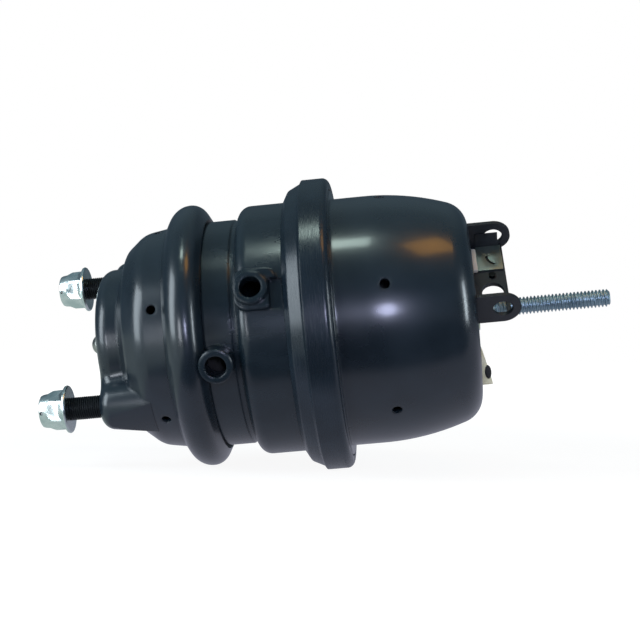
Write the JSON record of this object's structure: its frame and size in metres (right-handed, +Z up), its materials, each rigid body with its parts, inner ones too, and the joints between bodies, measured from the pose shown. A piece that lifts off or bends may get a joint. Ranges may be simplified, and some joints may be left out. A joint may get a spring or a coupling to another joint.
{
  "type": "air brake chamber",
  "caption": "Combined service and spring air brake chamber with studs, push rod, clamp bands, ports, end bracket and release bolt",
  "frame": {"origin": "centre of the stud circle on the seat face that bolts to the brake", "axes": "+X along the chamber axis towards the spring end, +Z up with the stud line 45 degrees off the horizontal, the ports towards -Y"},
  "size_m": [0.402, 0.207, 0.207],
  "materials": {
    "black_paint": "gloss black paint over pressed steel and castings",
    "stud_steel": "black phosphated thread",
    "zinc_plate": "bright zinc plate with a blue tint",
    "nylon": "natural nylon",
    "rubber": "moulded fabric-backed rubber",
    "bare_steel": "turned and pressed steel, lightly oiled",
    "spring_steel": "coated spring steel",
    "cast_aluminium": "as cast",
    "guide_plastic": "moulded bearing plastic",
    "piston_paint": "primed pressed steel",
    "pin_steel": "headed steel pin",
    "plug_plastic": "cream moulded plastic"
  },
  "bodies": {
    "chamber": {"service_housing": "black_paint", "flange_case": "black_paint", "spring_housing": "black_paint", "service_clamp_ring": "black_paint", "spring_clamp_band": "black_paint", "end_bracket": "black_paint", "mounting_studs": "stud_steel", "stud_nuts": "zinc_plate", "release_washer": "zinc_plate", "bracket_clip": "zinc_plate", "nut_inserts": "nylon", "front_boot": "rubber", "service_diaphragm": "rubber", "spring_diaphragm": "rubber", "rod_seals": "rubber", "boot_retainer": "bare_steel", "bushing_ring": "bare_steel", "service_return_spring": "spring_steel", "power_spring": "spring_steel", "rod_bushing": "guide_plastic", "bracket_pin": "pin_steel", "end_plug": "plug_plastic"},
    "push_rod": {"push_rod": "bare_steel", "push_plate": "bare_steel"},
    "piston": {"piston": "piston_paint", "centre_rod": "bare_steel", "rod_foot": "cast_aluminium", "spring_seat": "guide_plastic", "release_bolt": "zinc_plate"},
    "release_nut": {"release_nut": "zinc_plate"}
  },
  "joints": [
    {"name": "piston_slide", "type": "slide", "parent": "chamber", "child": "piston", "axis": [-1, 0, 0], "range_m": [0, 0.057], "deforming": ["power_spring", "spring_diaphragm"]},
    {"name": "push_rod_slide", "type": "slide", "parent": "chamber", "child": "push_rod", "axis": [-1, 0, 0], "range_m": [0, 0.057], "deforming": ["service_return_spring", "service_diaphragm", "front_boot"]},
    {"name": "release_nut_turn", "type": "hinge", "parent": "chamber", "child": "release_nut", "pos_m": [0.2688, 0, 0], "axis": [1, 0, 0], "range_deg": [0, 8080.7]}
  ],
  "couplings": [
    {"joint": "push_rod_slide", "follows": "piston_slide", "ratio": 1},
    {"joint": "release_nut_turn", "follows": "piston_slide", "rad_per_m": 2473.7}
  ]
}
